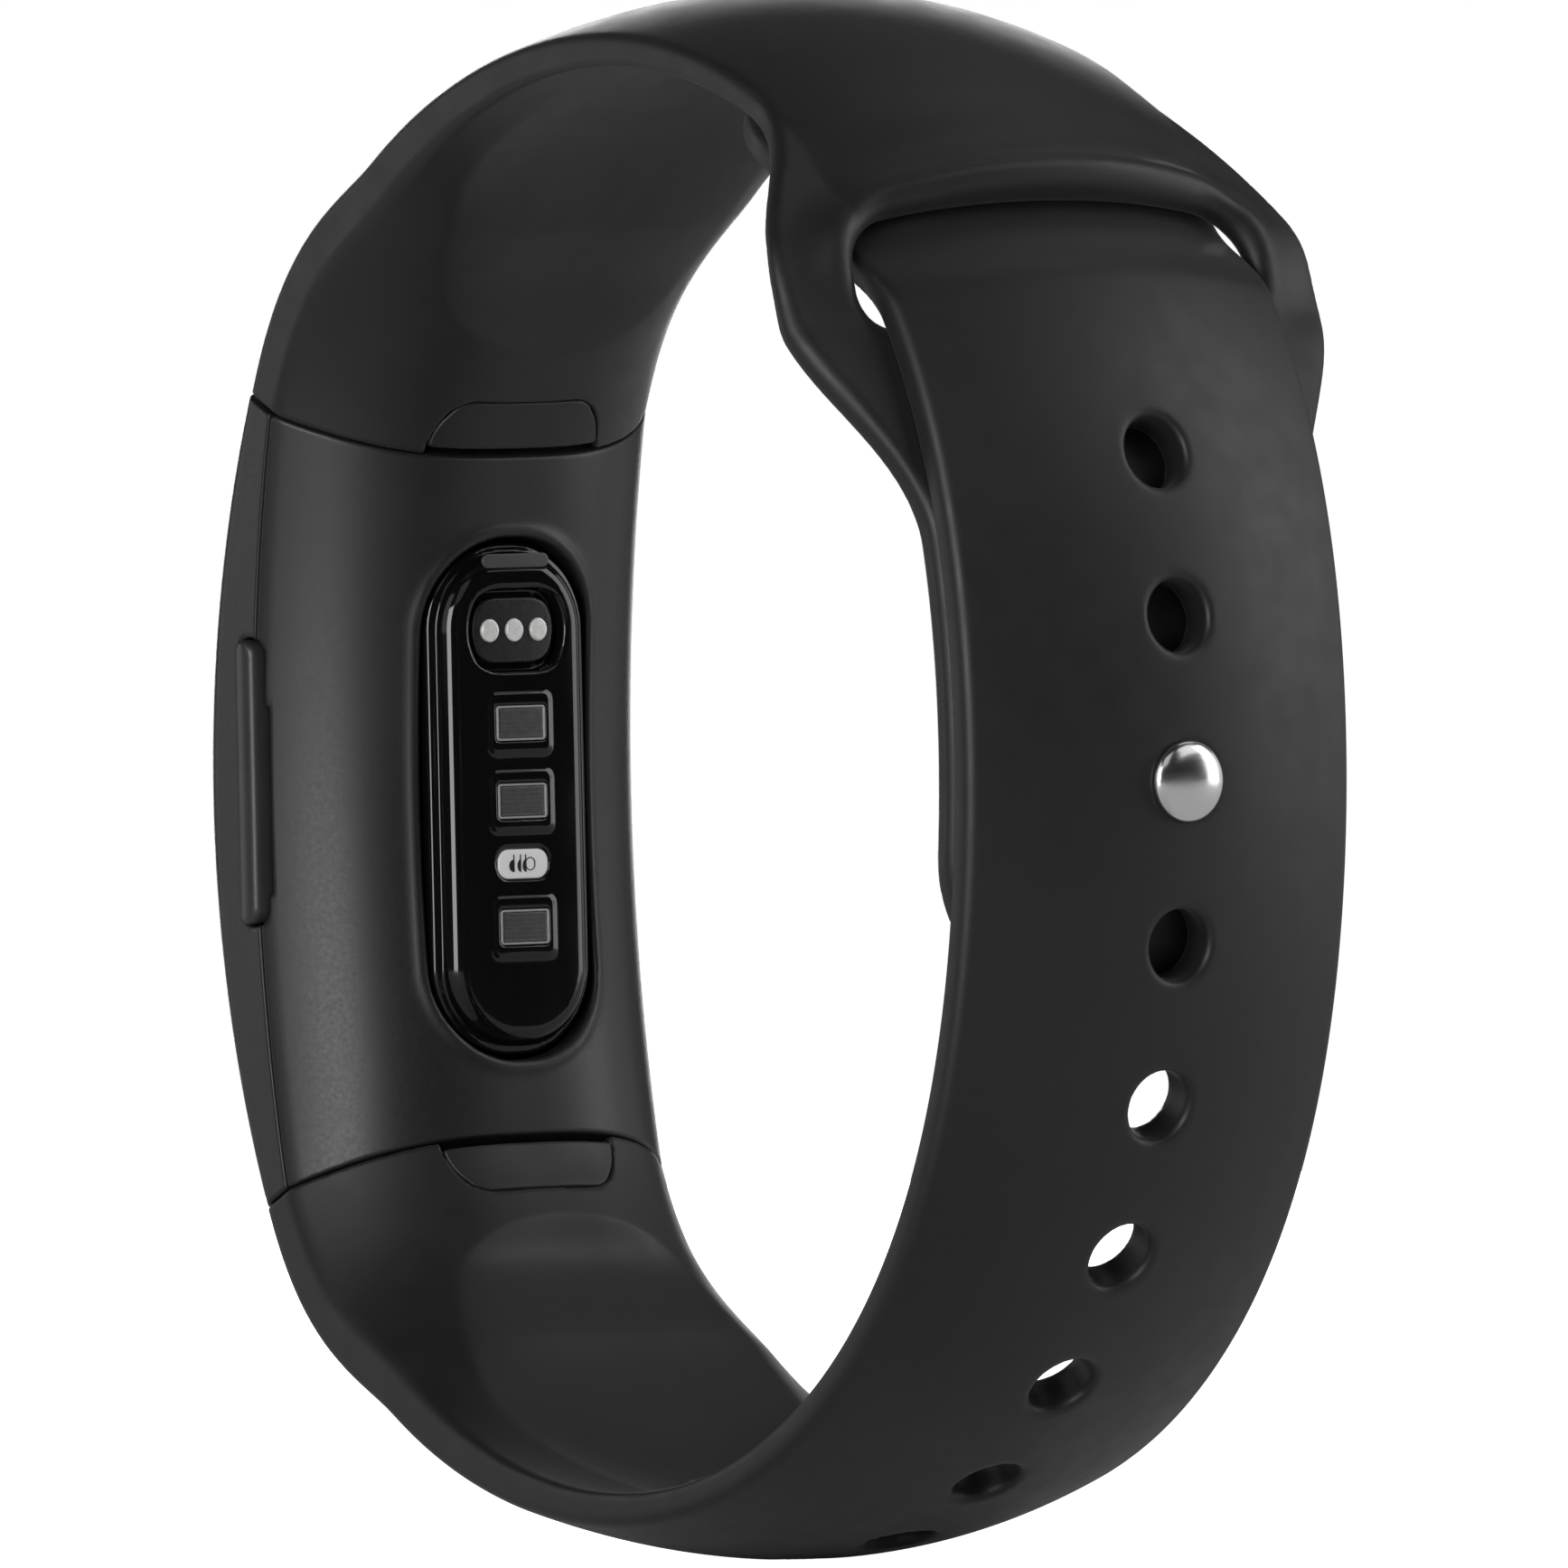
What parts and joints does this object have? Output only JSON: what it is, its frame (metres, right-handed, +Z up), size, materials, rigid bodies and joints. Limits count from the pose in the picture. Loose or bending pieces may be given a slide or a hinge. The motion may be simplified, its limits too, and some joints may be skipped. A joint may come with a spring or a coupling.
{
  "type": "fitness tracker band",
  "caption": "Wrist-worn tracker module with heart-rate window and side button on a tuck-in silicone sport band with stud and loop clasp.",
  "frame": {"origin": "centre of the overall box, which is about the centre of the wrist opening", "axes": "+Z up along the tracker's length, the wrist passes along Y, the display faces -X and the clasp stud faces +X"},
  "size_m": [0.069, 0.0296, 0.0726],
  "materials": {
    "silicone": "matte silk",
    "dark_case": "fine satin",
    "grey_shell": "satin",
    "black_glass": "high gloss",
    "polished_steel": "polished",
    "contact_metal": "satin plated",
    "circuit_board": "solder mask",
    "chip_black": "moulded",
    "cell_foil": "satin foil",
    "black_plastic": "moulded",
    "seal_rubber": "matte",
    "flex_film": "film",
    "sensor_lens": "gloss",
    "emitter_white": "gloss"
  },
  "bodies": {
    "band": {"loop_strap": "silicone", "holed_strap": "silicone", "clasp_stud": "polished_steel", "stud_washer": "polished_steel", "upper_connector": "black_plastic", "lower_connector": "black_plastic"},
    "tracker": {"antenna_strip": "cell_foil", "battery": "cell_foil", "battery_pad": "seal_rubber", "board_connector": "black_plastic", "button_seal": "seal_rubber", "button_switch": "polished_steel", "case_frame": "dark_case", "charging_insert": "black_plastic", "charging_pin_1": "contact_metal", "charging_pin_2": "contact_metal", "charging_pin_3": "contact_metal", "chassis_plate": "cell_foil", "cover_glass": "black_glass", "display_flex": "flex_film", "display_gasket": "seal_rubber", "display_panel": "black_glass", "housing_gasket": "seal_rubber", "led_emitter": "emitter_white", "main_board": "circuit_board", "motion_sensor": "chip_black", "motor_cup": "polished_steel", "motor_lid": "polished_steel", "motor_shaft": "polished_steel", "photodiode_1": "sensor_lens", "photodiode_2": "sensor_lens", "photodiode_3": "sensor_lens", "pressure_sensor": "polished_steel", "processor": "chip_black", "radio_chip": "chip_black", "rear_housing": "grey_shell", "sensor_board": "circuit_board", "sensor_window": "black_glass"},
    "upper_latch": {"upper_latch": "silicone"},
    "lower_latch": {"lower_latch": "silicone"},
    "side_button": {"side_button": "grey_shell"},
    "motor_rotor": {"motor_rotor": "contact_metal"}
  },
  "joints": [
    {"name": "tracker_release", "type": "slide", "parent": "band", "child": "tracker", "axis": [-1, 0, 0], "range_m": [0, 0.012]},
    {"name": "upper_latch_press", "type": "slide", "parent": "band", "child": "upper_latch", "axis": [-0.9026, 0, 0.4305], "range_m": [0, 0.0005], "stiffness_N_per_m": 300},
    {"name": "lower_latch_press", "type": "slide", "parent": "band", "child": "lower_latch", "axis": [-0.9026, 0, -0.4305], "range_m": [0, 0.0005], "stiffness_N_per_m": 300},
    {"name": "side_button_press", "type": "slide", "parent": "tracker", "child": "side_button", "axis": [0, 1, 0], "range_m": [0, 0.0003], "stiffness_N_per_m": 400},
    {"name": "motor_rotor_spin", "type": "hinge", "parent": "tracker", "child": "motor_rotor", "pos_m": [-0.02924, 0, 0.00649], "axis": [1, 0, 0], "continuous": true}
  ]
}
